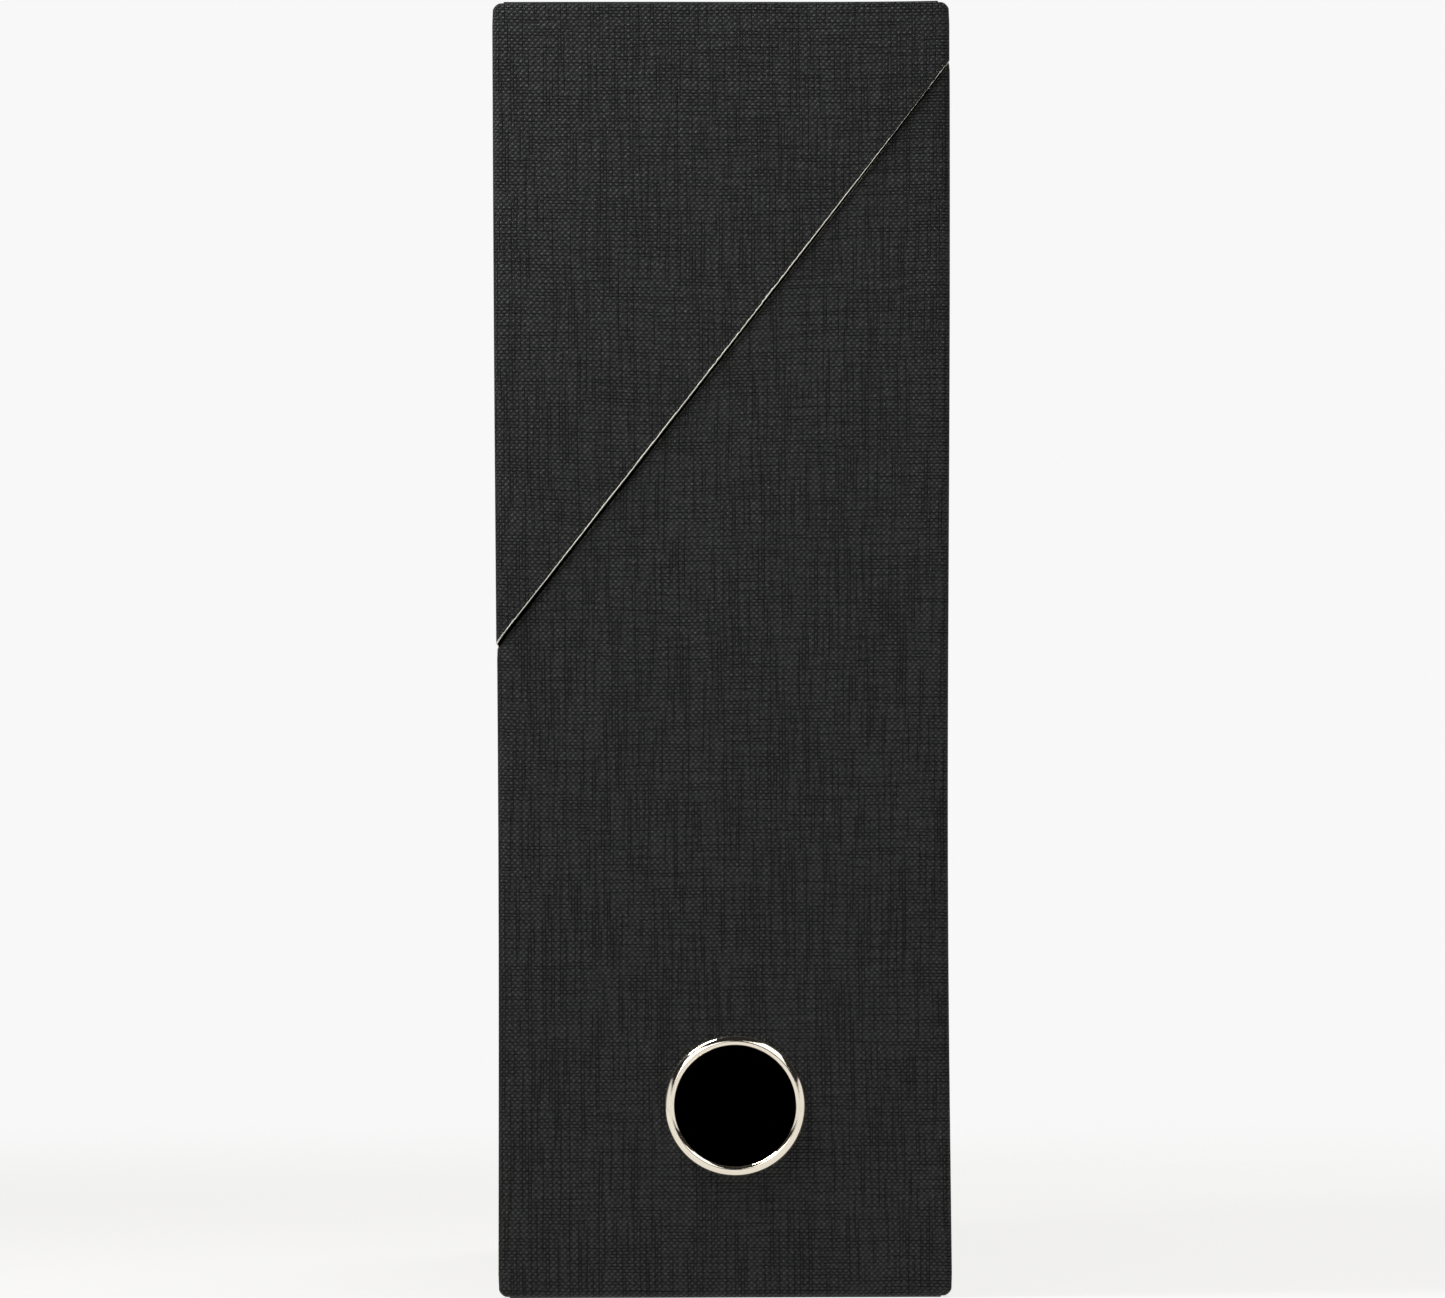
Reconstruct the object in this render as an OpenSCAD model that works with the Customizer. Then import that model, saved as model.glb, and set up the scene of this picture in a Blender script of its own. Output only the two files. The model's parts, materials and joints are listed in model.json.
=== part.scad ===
// Transfer box for A4 papers: a rigid board box covered in linen-embossed paper.
// The closed box is sawn through on one slanted plane. The far side, the front and the rear
// are cut through, and the covering of the hinge side is left whole as the lid's hinge.
// Frame: X across the spine, +Y from the spine (front) to the rear, +Z up.
// Origin: centre of the base, on the face that the box stands on. Millimetres.

/* [Box] */
// Width of the spine, across the outside
box_w = 120; // [90:1:150]
// Depth from the spine to the rear, outside the covering
box_d = 255; // [220:1:300]
// Height over the base sheet and the top sheet
box_h = 340; // [300:1:380]
// Radius of the outer edges, over the covering paper
edge_r = 2; // [1.2:0.1:3]

/* [Boards and papers] */
// Thickness of the greyboard panels
board_t = 2; // [1.6:0.1:3]
// Thickness of the linen-embossed covering paper
wrap_t = 0.3; // [0.25:0.05:0.5]
// Width of the covering paper turned in over the base and the top
turn_in = 15; // [10:1:25]
// Thickness of the sheets pasted over the base and the top
sheet_t = 0.25; // [0.15:0.05:0.4]
// How far the pasted sheets stay back from the outer edges
sheet_inset = 3; // [2.5:0.5:6]
// Thickness of the lining paper
lining_t = 0.15; // [0.1:0.05:0.3]
// Thickness of the gummed tape that joins the boards
stay_t = 0.12; // [0.08:0.01:0.2]
// Width of the gummed tape on each side of an edge
stay_w = 10; // [6:1:14]

/* [Lid] */
// Height of the hinge line on the hinge side
hinge_z = 171; // [170.5:0.1:180]
// Height of the lid's lip on the far side
lip_h = 16.1; // [10:0.1:30]
// Width of the saw cut beside the hinge
kerf_hinge = 0.8; // [0.6:0.1:1.2]
// Width that is left of the saw cut at the lip when the lid is shut
kerf_lip = 0.3; // [0.2:0.05:0.6]
// Width of the cloth hinge tape on each side of the hinge line
hinge_tape_w = 12; // [8:1:20]

/* [Finger ring] */
// Radius of the ring's bore
ring_bore_r = 15.7; // [12:0.1:18]
// Radius of the ring's flange
ring_flange_r = 18.5; // [15:0.1:22]
// Radius of the flange's crown, its highest line
ring_crown_r = 16.8; // [13:0.1:19]
// Height of the crown over the covering paper
ring_crown_h = 1.1; // [0.8:0.1:1.6]
// Thickness of the ring's sheet steel
ring_t = 0.4; // [0.3:0.05:0.5]
// Distance of the ring's centre from the middle of the spine
ring_x = 2.7; // [-10:0.1:10]
// Height of the ring's centre over the base
ring_z = 50.4; // [40:0.1:90]
// Radius of the washer behind the spine
washer_r = 19.6; // [18:0.1:24]
// Thickness of the washer
washer_t = 0.5; // [0.3:0.05:0.8]

/* [Hidden] */

over = 5;             // how far cutting shapes reach past what they cut
arc_fn = 48;          // segments of the edge rounding in a preview
ring_fn = 128;        // segments of the finger ring in a preview
hole_gap = 0.15;      // room between the ring's barrel and its hole in the spine
curl_w = 0.65;        // flat width of the barrel's clinched end
curl_r = 0.4;         // inside radius of the clinched end

half_w = box_w / 2;
half_d = box_d / 2;
core_x = half_w - wrap_t;                 // outer face of the side boards
core_y = half_d - wrap_t;                 // outer face of the front and rear boards
core_z0 = sheet_t + wrap_t;               // underside of the base board
core_z1 = box_h - core_z0;                // upper side of the top board
inner_x = core_x - board_t;
inner_y = core_y - board_t;
inner_z0 = core_z0 + board_t;
inner_z1 = core_z1 - board_t;

// The saw cut as a line in X and Z, from the hinge line to the lip.
cut_rise = box_h - lip_h - hinge_z;
cut_angle = atan(cut_rise / box_w);
hinge_half = kerf_hinge / cos(cut_angle) / 2;   // half the cut, measured along Z
lip_half = kerf_lip / cos(cut_angle) / 2;

barrel_r = ring_bore_r + ring_t;
hole_r = barrel_r + hole_gap;
panel_t = wrap_t + board_t + lining_t;    // thickness of the spine from paper to paper
clinch_z = -(panel_t + washer_t);         // rear face of the washer, behind the covering

// ---- Shared shapes ----

// Rectangle of half sizes hx and hy with round corners.
module round_rect(hx, hy, r) {
    square([2 * hx, 2 * (hy - r)], center = true);
    square([2 * (hx - r), 2 * hy], center = true);
    for (sx = [-1, 1], sy = [-1, 1])
        translate([sx * (hx - r), sy * (hy - r)]) circle(r, $fn = arc_fn);
}

// The box's outer form, moved inwards by inset, with all twelve edges rounded.
module block(inset) {
    hx = half_w - inset;
    hy = half_d - inset;
    hz = box_h / 2 - sheet_t - inset;
    r = edge_r - inset;
    translate([0, 0, box_h / 2]) intersection() {
        linear_extrude(2 * hz, center = true) round_rect(hx, hy, r);
        rotate([90, 0, 0]) linear_extrude(2 * hy, center = true) round_rect(hx, hz, r);
        rotate([90, 0, 90]) linear_extrude(2 * hx, center = true) round_rect(hy, hz, r);
    }
}

// Box between two corners.
module span(low, high) {
    translate(low) cube(high - low);
}

// An outline in X and Z, pushed through the whole depth.
module through(points) {
    rotate([90, 0, 0]) linear_extrude(box_d + 2 * over, center = true) polygon(points);
}

// Height of the middle of the saw cut at x.
function cut_z(x) = hinge_z + (x + half_w) * tan(cut_angle);

// Half the saw cut at x, along Z. It narrows from the hinge to the lip.
function cut_half(x) = hinge_half + (lip_half - hinge_half) * (x + half_w) / box_w;

// Everything under the saw cut, or over it.
module body_side() {
    x = half_w + over;
    through([[-x, -over], [x, -over], [x, cut_z(x) - cut_half(x)], [-x, cut_z(-x) - cut_half(-x)]]);
}

module lid_side() {
    x = half_w + over;
    top = box_h + over;
    through([[-x, top], [-x, cut_z(-x) + cut_half(-x)], [x, cut_z(x) + cut_half(x)], [x, top]]);
}

// Room for the covering of the hinge side, which the saw leaves whole, between two heights.
module hinge_skin(z0, z1) {
    span([-half_w - over, -half_d + edge_r, z0], [-core_x, half_d - edge_r, z1]);
}

// Hole for the ring's barrel, through the spine.
module ring_hole() {
    translate([ring_x, -half_d + panel_t + over, ring_z])
        rotate([90, 0, 0]) cylinder(h = panel_t + 2 * over, r = hole_r, $fn = ring_fn);
}

// Puts a shape that is turned about Z on the ring's axis, with +Z out of the spine.
module on_ring_axis() {
    translate([ring_x, -half_d, ring_z]) rotate([90, 0, 0]) children();
}

// ---- Boards, as whole panels before the saw cut ----

module board(low, high) {
    color([0.62, 0.58, 0.50]) intersection() {
        block(wrap_t);
        span(low, high);
        children();
    }
}

module spine_panel(side) {
    y0 = side < 0 ? -core_y : inner_y;
    board([-inner_x, y0, core_z0], [inner_x, y0 + board_t, core_z1]) children();
}

module side_panel(side) {
    x0 = side < 0 ? -core_x : inner_x;
    board([x0, -core_y, core_z0], [x0 + board_t, core_y, core_z1]) children();
}

module end_panel(z0) {
    board([-inner_x, -inner_y, z0], [inner_x, inner_y, z0 + board_t]) children();
}

// ---- Gummed tape on the boards' edges ----

// Room for four upright strips, one round each upright edge.
module upright_zone() {
    height = 2 * (core_z1 - box_h / 2 - edge_r);
    for (sx = [-1, 1], sy = [-1, 1])
        translate([sx * core_x, sy * core_y, box_h / 2])
            cube([2 * stay_w, 2 * stay_w, height], center = true);
}

// Room for four strips round the edges of one end. z is the outer face of that end's board.
// The strips stop short of the upright ones.
module end_zone(z) {
    for (s = [-1, 1]) {
        translate([s * core_x, 0, z])
            cube([2 * stay_w, 2 * (core_y - stay_w - 1), 2 * stay_w], center = true);
        translate([0, s * core_y, z])
            cube([2 * (core_x - stay_w - 1), 2 * stay_w, 2 * stay_w], center = true);
    }
}

module tape() {
    color([0.55, 0.42, 0.28]) difference() {
        intersection() {
            block(wrap_t - stay_t);
            children();
        }
        block(wrap_t);
    }
}

module upright_stays() {
    tape() intersection() {
        upright_zone();
        children();
    }
}

module end_stays(z) {
    tape() end_zone(z);
}

// ---- Covering paper ----

// The covering of all four sides with its turn-ins, before the saw cut.
module wrap_shell() {
    difference() {
        block(0);
        block(wrap_t);
        span([-half_w + turn_in, -half_d + turn_in, -over],
             [half_w - turn_in, half_d - turn_in, box_h + over]);
        intersection() {
            block(wrap_t - stay_t);
            union() {
                upright_zone();
                end_zone(core_z0);
                end_zone(core_z1);
            }
        }
    }
}

// A sheet pasted over one end, as seen from outside that end: its rim lies on the turn-ins,
// and its middle lies on the board between them.
module end_sheet() {
    x = half_w - sheet_inset;
    y = half_d - sheet_inset;
    step_x = half_w - turn_in;
    step_y = half_d - turn_in;
    color([0.13, 0.13, 0.13]) {
        difference() {
            span([-x, -y, 0], [x, y, sheet_t]);
            span([-step_x + sheet_t, -step_y + sheet_t, -over], [step_x - sheet_t, step_y - sheet_t, over]);
        }
        difference() {
            span([-step_x, -step_y, 0], [step_x, step_y, core_z0]);
            span([-step_x + sheet_t, -step_y + sheet_t, -over], [step_x - sheet_t, step_y - sheet_t, wrap_t]);
        }
    }
}

// ---- Lining paper ----

module wall_lining() {
    color([0.06, 0.06, 0.06]) intersection() {
        difference() {
            span([-inner_x, -inner_y, inner_z0], [inner_x, inner_y, inner_z1]);
            span([-inner_x + lining_t, -inner_y + lining_t, -over],
                 [inner_x - lining_t, inner_y - lining_t, box_h + over]);
            ring_hole();
        }
        children();
    }
}

module end_lining(z0) {
    x = inner_x - lining_t;
    y = inner_y - lining_t;
    color([0.06, 0.06, 0.06]) span([-x, -y, z0], [x, y, z0 + lining_t]);
}

// ---- Hinge ----

hinge_tape_y = core_y - stay_w - 1;       // half the tape's length, short of the upright strips

// Cloth tape between the covering and the hinge side's boards, between two heights.
module hinge_tape(z0, z1) {
    color([0.22, 0.22, 0.21])
        span([-core_x - stay_t, -hinge_tape_y, z0], [-core_x, hinge_tape_y, z1]);
}

// Room for both leaves of the tape in the back of the covering.
module hinge_tape_room() {
    span([-core_x - stay_t, -hinge_tape_y, hinge_z - hinge_tape_w],
         [-core_x + over, hinge_tape_y, hinge_z + hinge_tape_w]);
}

// ---- Finger ring ----

// Outline of a bead that rises from the bore to the crown and falls to the flange's rim,
// drawn inset by t. r and z are the ring's own radius and height over the paper.
module bead_outline(t) {
    inner_rise = ring_crown_r - ring_bore_r;
    fall = ring_flange_r - ring_crown_r;
    outer_rise = (fall * fall + ring_crown_h * ring_crown_h) / (2 * ring_crown_h);
    intersection() {
        translate([ring_crown_r, ring_crown_h - inner_rise]) circle(inner_rise - t, $fn = ring_fn);
        span_2d([0, 0], [ring_crown_r, ring_crown_h]);
    }
    intersection() {
        translate([ring_crown_r, ring_crown_h - outer_rise]) circle(outer_rise - t, $fn = ring_fn);
        span_2d([ring_crown_r, 0], [ring_flange_r, ring_crown_h]);
    }
}

module span_2d(low, high) {
    translate(low) square(high - low);
}

// Quarter of a round band that turns the barrel's end outwards, with its flat rim.
module clinch_outline() {
    bend_r = ring_t + curl_r;
    translate([ring_bore_r + bend_r, clinch_z + curl_r]) {
        intersection() {
            difference() {
                circle(bend_r, $fn = ring_fn);
                circle(curl_r, $fn = ring_fn);
            }
            span_2d([-bend_r, -bend_r], [0, 0]);
        }
        span_2d([0, -bend_r], [curl_w, -curl_r]);
    }
}

module finger_ring() {
    color([0.80, 0.78, 0.74]) on_ring_axis() rotate_extrude($fn = ring_fn) {
        difference() {
            bead_outline(0);
            bead_outline(ring_t);
        }
        span_2d([ring_bore_r, clinch_z + curl_r], [barrel_r, ring_crown_h - (ring_crown_r - ring_bore_r)]);
        clinch_outline();
    }
}

module finger_ring_washer() {
    color([0.72, 0.71, 0.68]) on_ring_axis() translate([0, 0, clinch_z]) difference() {
        cylinder(h = washer_t, r = washer_r, $fn = ring_fn);
        translate([0, 0, -over])
            cylinder(h = washer_t + 2 * over, r = barrel_r + curl_r + hole_gap / 3, $fn = ring_fn);
    }
}

// ---- Nodes of the body ----

module base_board() { end_panel(core_z0) body_side(); }
module front_board() {
    difference() {
        spine_panel(-1) body_side();
        ring_hole();
    }
}

module rear_board() { spine_panel(1) body_side(); }
module hinge_side_board() { side_panel(-1) body_side(); }
module far_side_board() { side_panel(1) body_side(); }
module body_corner_stays() { upright_stays() body_side(); }
module base_edge_stays() { end_stays(core_z0); }

module body_wrap_paper() {
    color([0.16, 0.165, 0.16]) difference() {
        intersection() {
            wrap_shell();
            union() {
                body_side();
                hinge_skin(hinge_z - over, hinge_z);
            }
        }
        hinge_tape_room();
        ring_hole();
    }
}

module base_sheet() { end_sheet(); }
module body_wall_lining() { wall_lining() body_side(); }
module base_lining() { end_lining(inner_z0); }
module hinge_tape_lower_leaf() { hinge_tape(hinge_z - hinge_tape_w, hinge_z); }

// ---- Nodes of the lid ----

module lid_top_board() { end_panel(inner_z1) lid_side(); }
module lid_front_board() { spine_panel(-1) lid_side(); }
module lid_rear_board() { spine_panel(1) lid_side(); }
module lid_hinge_side_board() { side_panel(-1) lid_side(); }
module lid_lip_board() { side_panel(1) lid_side(); }
module lid_corner_stays() { upright_stays() lid_side(); }
module lid_edge_stays() { end_stays(core_z1); }

module lid_wrap_paper() {
    color([0.16, 0.165, 0.16]) difference() {
        intersection() {
            wrap_shell();
            union() {
                lid_side();
                hinge_skin(hinge_z, hinge_z + over);
            }
        }
        hinge_tape_room();
    }
}

module lid_top_sheet() { translate([0, 0, box_h]) mirror([0, 0, 1]) end_sheet(); }
module lid_wall_lining() { wall_lining() lid_side(); }
module lid_top_lining() { end_lining(inner_z1 - lining_t); }
module hinge_tape_upper_leaf() { hinge_tape(hinge_z, hinge_z + hinge_tape_w); }

base_board();
front_board();
rear_board();
hinge_side_board();
far_side_board();
body_corner_stays();
base_edge_stays();
body_wrap_paper();
base_sheet();
body_wall_lining();
base_lining();
hinge_tape_lower_leaf();
finger_ring();
finger_ring_washer();
lid_top_board();
lid_front_board();
lid_rear_board();
lid_hinge_side_board();
lid_lip_board();
lid_corner_stays();
lid_edge_stays();
lid_wrap_paper();
lid_top_sheet();
lid_wall_lining();
lid_top_lining();
hinge_tape_upper_leaf();
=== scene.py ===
import json
import math

import bmesh
import bpy
from mathutils import Matrix, Vector, noise

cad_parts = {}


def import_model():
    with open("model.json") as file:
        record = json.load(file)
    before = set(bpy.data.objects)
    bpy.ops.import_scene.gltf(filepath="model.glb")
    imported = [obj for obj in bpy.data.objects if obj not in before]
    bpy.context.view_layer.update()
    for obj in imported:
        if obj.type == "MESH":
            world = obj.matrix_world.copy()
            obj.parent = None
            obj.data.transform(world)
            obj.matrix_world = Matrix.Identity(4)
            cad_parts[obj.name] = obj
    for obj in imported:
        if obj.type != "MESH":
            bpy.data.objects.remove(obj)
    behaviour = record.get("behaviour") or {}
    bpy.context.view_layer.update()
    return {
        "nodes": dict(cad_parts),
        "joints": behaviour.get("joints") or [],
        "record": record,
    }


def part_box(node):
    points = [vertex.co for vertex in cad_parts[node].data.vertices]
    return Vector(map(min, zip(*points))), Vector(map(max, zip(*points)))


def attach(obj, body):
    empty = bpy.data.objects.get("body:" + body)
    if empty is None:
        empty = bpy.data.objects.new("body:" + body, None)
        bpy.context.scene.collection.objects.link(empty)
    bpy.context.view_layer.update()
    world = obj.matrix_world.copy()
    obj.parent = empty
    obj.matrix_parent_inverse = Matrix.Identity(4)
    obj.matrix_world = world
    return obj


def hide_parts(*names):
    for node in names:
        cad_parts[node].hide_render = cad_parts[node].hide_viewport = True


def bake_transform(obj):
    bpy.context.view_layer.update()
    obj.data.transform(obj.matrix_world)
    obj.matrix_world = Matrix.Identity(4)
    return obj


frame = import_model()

# The box for papers, dressed: the covering paper, the boards under it and the finger ring.
# Lengths are in metres. A place on the covering is (u, v): u runs round the box from the middle
# of the spine towards the far side, and v runs up the walls and on round the edges of both ends.

MM = 0.001

# ---- Measures, from the CAD frame ----

wrap_lo, wrap_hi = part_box("body_wrap_paper")
ring_lo, ring_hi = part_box("finger_ring")
tape_lo, tape_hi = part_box("hinge_tape_lower_leaf")
hinge = next(j for j in frame["joints"] if j["name"] == "lid_hinge")
ring_mount = next(m for m in frame["record"]["mounts"] if m["name"] == "finger_ring_bore")

HALF_W = wrap_hi.x
HALF_D = wrap_hi.y
LOW = wrap_lo.z                                     # underside of the covering's turn-in
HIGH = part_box("lid_wrap_paper")[1].z                # upper side of the covering's turn-in
BOX_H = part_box("lid_top_sheet")[1].z
SHEET_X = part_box("base_sheet")[1].x
SHEET_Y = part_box("base_sheet")[1].y
SHEET_T = LOW
WRAP_T = HALF_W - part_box("far_side_board")[1].x
TAPE_T = tape_hi.x - tape_lo.x
HINGE_Z = hinge["pos_m"][2]
TAPE_LOW = tape_lo.z
TAPE_HIGH = 2 * HINGE_Z - tape_lo.z

EDGE_R = 2 * MM                                     # outer edges, as in the CAD model
TURN_IN = 15 * MM
STAY_W = 10 * MM
FOLD = 1.5 * MM                                     # half the height of the covering that bends

FLAT_X = HALF_W - EDGE_R                            # half the flat part of the spine
FLAT_Y = HALF_D - EDGE_R                            # half the flat part of a side
CORNER = EDGE_R * math.pi / 2                       # arc of a rounded edge
GIRTH = 4 * (FLAT_X + FLAT_Y + CORNER)
SIDE_LAP = 3 * MM                                   # how far the spine's sheet reaches round

# ---- How this box has settled: its wide sides lean in, and its lid sits a little to one side ----

LEAN_LEFT = 0.65 * MM
LEAN_RIGHT = 1.25 * MM
LEAN_Z = 110 * MM
LEAN_SPREAD = 120 * MM
LID_BACK = 0.08 * MM                                # the lip stands back from the far side
BODY_BACK = 0.2 * MM                                # the body stands back under the hinge
FRONT_SINK = 0.35 * MM                              # the body's spine sinks in along the saw cut
SINK_REACH = 18 * MM
SAG = 1.05 * MM                                     # the saw cut's middle hangs a little
SAG_REACH = 30 * MM
SAG_FOOT = 60 * MM                                  # the sag fades out from here to the base
SINK_FROM = 80 * MM                                 # how far forward of the middle it sinks in
SINK_FULL = 100 * MM
WORN_REACH = 3 * MM                                 # the corners seen from the front are rubbed round
WORN_SHARE = 0.16

# ---- The saw cut, as two slanted planes ----


def line(low, high):
    """Slope and start of the line in X and Z through two points."""
    slope = (high[1] - low[1]) / (high[0] - low[0])
    return slope, low[1] - slope * low[0]


def cut_line(hinge_board, far_board, side):
    """The saw cut's face on one body. side is 1 for the body's upper corners, 0 for the lid's."""
    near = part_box(hinge_board)[side]
    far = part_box(far_board)[side]
    return line((near.x, near.z), (far.x, far.z))


BODY_CUT = cut_line("hinge_side_board", "far_side_board", 1)
LID_CUT = cut_line("lid_hinge_side_board", "lid_lip_board", 0)


def cut_plane(cut):
    """A point of one face of the saw cut, and its upward normal."""
    slope, start = cut
    return Vector((0, 0, start)), Vector((-slope, 0, 1)).normalized()


def under_cut(x, z):
    """How far a point lies under the body's side of the saw cut, square to the cut."""
    slope, start = BODY_CUT
    return (slope * x + start - z) / math.hypot(1, slope)


def smooth(t):
    """0 up to 1 as t goes from 0 to 1, slow at both ends."""
    t = min(1.0, max(0.0, t))
    return t * t * (3 - 2 * t)


def worn(x, z):
    """Moves a point near one of the four corners seen from the front in towards the middle."""
    side = abs(x) - (HALF_W - WORN_REACH)
    over = max(z - (BOX_H - WORN_REACH), WORN_REACH - z)
    if side <= 0 or over <= 0:
        return x, z
    slant = 2 * side * over / (side ** 2 + over ** 2)
    share = WORN_SHARE * slant * smooth(math.hypot(side, over) / WORN_REACH - 0.4)
    x -= math.copysign(side * share, x)
    z -= math.copysign(over * share, z - BOX_H / 2)
    return x, z


def settle(x, y, z, lid):
    """Where a point of the straight box lies on this one. lid is 1 on the lid, 0 on the body."""
    x, z = worn(x, z)
    left = (1 - x / HALF_W) / 2
    right = (1 + x / HALF_W) / 2
    lean = math.exp(-(((z - LEAN_Z) / LEAN_SPREAD) ** 2))
    away = under_cut(x, z)
    sink = FRONT_SINK * math.exp(-max(0, away) / SINK_REACH)
    hang = SAG * max(0, 4 * left * right) * math.exp(-abs(away) / SAG_REACH)
    sag = hang * smooth(z / SAG_FOOT)
    x += left * (LEAN_LEFT * lean + (1 - lid) * BODY_BACK)
    x -= right * (LEAN_RIGHT * lean + lid * LID_BACK)
    y += (1 - lid) * sink * smooth((-y - SINK_FROM) / (SINK_FULL - SINK_FROM))
    return Vector((x, y, z - sag))


def settle_mesh(bm, lid):
    """Settles every point. lid is 0 on the body, 1 on the lid, or a function of the height."""
    for vert in bm.verts:
        share = lid(vert.co.z) if callable(lid) else lid
        vert.co = settle(*vert.co, share)


# ---- Shader nodes ----


class Nodes:
    """A node tree, with short calls that add a node and return its output."""

    def __init__(self, tree):
        self.tree = tree

    def put(self, socket, value):
        """Links a socket to a node's output, or sets its value. None leaves it alone."""
        if isinstance(value, bpy.types.NodeSocket):
            self.tree.links.new(value, socket)
        elif value is not None:
            socket.default_value = value

    def add(self, kind, out=0, settings=None, **inputs):
        """Adds a node. inputs are named like its sockets, with _ for each space."""
        node = self.tree.nodes.new("ShaderNode" + kind)
        for key, value in (settings or {}).items():
            setattr(node, key, value)
        for key, value in inputs.items():
            self.put(node.inputs[key.replace("_", " ")], value)
        return node.outputs[out]

    def math(self, operation, a, b=None, kind="Math", out=0):
        node = self.tree.nodes.new("ShaderNode" + kind)
        node.operation = operation
        self.put(node.inputs[0], a)
        self.put(node.inputs[1], b)
        return node.outputs[out]

    def scale(self, vector, factors):
        """The vector with each part times its own factor."""
        return self.math("MULTIPLY", vector, factors, "VectorMath")

    def distance(self, vector, place=(0.0, 0.0, 0.0)):
        """How far the vector is from a place."""
        return self.math("DISTANCE", vector, place, "VectorMath", out=1)

    def total(self, first, *others):
        for other in others:
            first = self.math("ADD", first, other)
        return first

    def product(self, first, *others):
        for other in others:
            first = self.math("MULTIPLY", first, other)
        return first

    def band(self, value, low, high, to_low=0.0, to_high=1.0):
        """value from low to high, taken smoothly to to_low up to to_high."""
        settings = {"interpolation_type": "SMOOTHSTEP"}
        return self.add("MapRange", settings=settings, Value=value, From_Min=low, From_Max=high,
                        To_Min=to_low, To_Max=to_high)

    def vector(self, x, y, z):
        return self.add("CombineXYZ", X=x, Y=y, Z=z)

    def parts(self, vector):
        node = self.tree.nodes.new("ShaderNodeSeparateXYZ")
        self.put(node.inputs[0], vector)
        return node.outputs

    def noise(self, vector, scale, detail=2.0, roughness=0.5):
        settings = {"noise_dimensions": "3D"}
        return self.add("TexNoise", settings=settings, Vector=vector, Scale=scale, Detail=detail,
                        Roughness=roughness)

    def blend(self, factor, low, high):
        """A colour from low to high."""
        node = self.tree.nodes.new("ShaderNodeMix")
        node.data_type = "RGBA"
        self.put(node.inputs[0], factor)
        self.put(node.inputs[6], (*low, 1) if isinstance(low, tuple) else low)
        self.put(node.inputs[7], (*high, 1) if isinstance(high, tuple) else high)
        return node.outputs[2]

    def bump(self, height, distance):
        return self.add("Bump", Height=height, Distance=distance, Strength=1.0)


class Material(Nodes):
    """A new material's nodes."""

    def __init__(self, name):
        self.material = bpy.data.materials.new(name)
        self.material.use_nodes = True
        super().__init__(self.material.node_tree)
        self.shader = self.tree.nodes["Principled BSDF"]

    def finish(self, **inputs):
        """Sets the shader's inputs and returns the material. A tuple is a colour."""
        for key, value in inputs.items():
            if isinstance(value, tuple):
                value = (*value, 1)
            self.put(self.shader.inputs[key.replace("_", " ")], value)
        return self.material


WARP = 0.78                                         # pitches of the embossed threads, in mm
WEFT = 0.805


def thread_level(g, number, along, seed, strength):
    """How high one thread lies against the next one, about 1, changing along it."""
    here = g.noise(g.vector(g.product(number, 5.17), along, seed), 1.0, 1.0)
    beside = g.total(g.product(number, 5.17), 5.17)
    there = g.noise(g.vector(beside, along, seed), 1.0, 1.0)
    step = g.math("SUBTRACT", here, there)
    return g.math("MAXIMUM", g.total(g.product(step, strength), 1.0), 0.2)


def gap_depth(g, turns, wave, along, seed, low, high, narrow):
    """The gap between two threads, 0 to 1: some gaps are pressed in deep for a part of the way."""
    number = g.math("FLOOR", g.total(turns, 0.5))
    place = g.vector(g.product(number, 4.61), along, seed)
    deep = g.band(g.noise(place, 1.0, 1.0), low, high)
    return g.product(deep, g.math("POWER", g.math("SUBTRACT", 1.0, wave), narrow))


def linen_relief(g, uv):
    """Height of the linen embossing, 0 to about 1. uv holds the place on the covering in mm."""
    drift = g.parts(g.add("TexNoise", out=1, Vector=uv, Scale=0.035, Detail=1.0))
    place = g.parts(uv)
    u = g.total(place[0], g.product(drift[0], 0.9))
    v = g.total(place[1], g.product(drift[1], 0.9))
    tu = g.product(u, 1 / WARP)
    tv = g.product(v, 1 / WEFT)
    su = g.math("SINE", g.product(tu, math.pi))
    sv = g.math("SINE", g.product(tv, math.pi))
    cu = g.math("COSINE", g.product(tu, math.pi))
    cv = g.math("COSINE", g.product(tv, math.pi))
    wave_u = g.math("ABSOLUTE", su)
    wave_v = g.math("ABSOLUTE", sv)
    column = g.math("FLOOR", tu)
    row = g.math("FLOOR", tv)
    warp = thread_level(g, column, g.product(v, 0.06), 3.0, 1.4)
    weft = thread_level(g, row, g.product(u, 0.11), 9.0, 0.9)
    crate = g.total(g.product(su, sv, 0.5), g.product(cu, cv, 0.13), 0.5)
    cell = g.noise(g.vector(g.product(column, 3.13), g.product(row, 4.71), 5.0), 1.0, 0.0)
    uneven = g.band(cell, 0.2, 0.8, 0.75, 1.25)
    height = g.product(crate, warp, weft, uneven)
    rows = g.product(g.math("POWER", g.math("SUBTRACT", 1.0, wave_v), 1.5), -0.48)
    grooves = gap_depth(g, tu, wave_u, g.product(v, 0.045), 2.0, 0.46, 0.60, 1.6)
    lines = gap_depth(g, tv, wave_v, g.product(u, 0.06), 6.0, 0.44, 0.62, 1.8)
    return g.total(height, rows, g.product(grooves, -0.72), g.product(lines, -0.6))


SCRATCH_MIDDLE = (6.0, 79.3, 0.0)                   # on the spine, in mm: the scratch is an arc
SCRATCH_R = 30.0


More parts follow.
